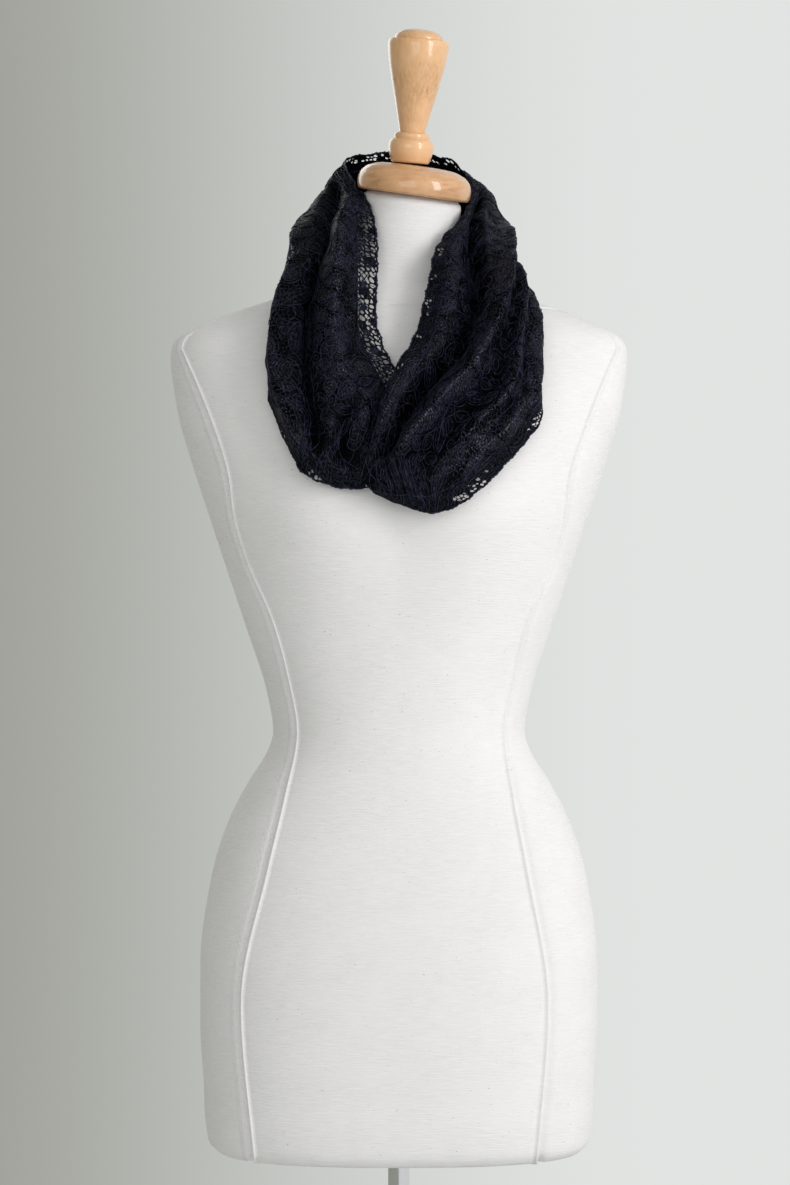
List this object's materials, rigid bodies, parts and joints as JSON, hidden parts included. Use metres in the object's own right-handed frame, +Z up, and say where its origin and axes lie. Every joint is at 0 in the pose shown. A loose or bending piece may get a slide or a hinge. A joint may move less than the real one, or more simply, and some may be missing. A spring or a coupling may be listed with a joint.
{
  "type": "lace mantilla on a dress form",
  "caption": "Wide lace loop with openwork borders, worn as a cowl with one side lapped over the other, on a limbless dress form with a turned wood neck cap, a pole and a round base.",
  "frame": {"origin": "centre of the base's flat underside, on the floor", "axes": "+Z up along the pole, -Y towards the front of the form, +X to the viewer's right"},
  "size_m": [0.389, 0.3, 1.6053],
  "materials": {
    "lace": "corded lace, near-black with a navy sheen",
    "linen": "off-white linen jersey, matte, with fine slubs",
    "wood": "clear gloss varnish on pale beech",
    "chrome": "polished"
  },
  "bodies": {
    "root": {"lace_right": "lace", "lace_left": "lace", "lace_back": "lace", "border_neck_right": "lace", "border_neck_left": "lace", "border_neck_back": "lace", "border_outer_right": "lace", "border_outer_left": "lace", "border_outer_back": "lace", "form_body": "linen", "neck_cap": "wood", "finial": "wood", "pole": "chrome", "base": "chrome"}
  },
  "joints": []
}
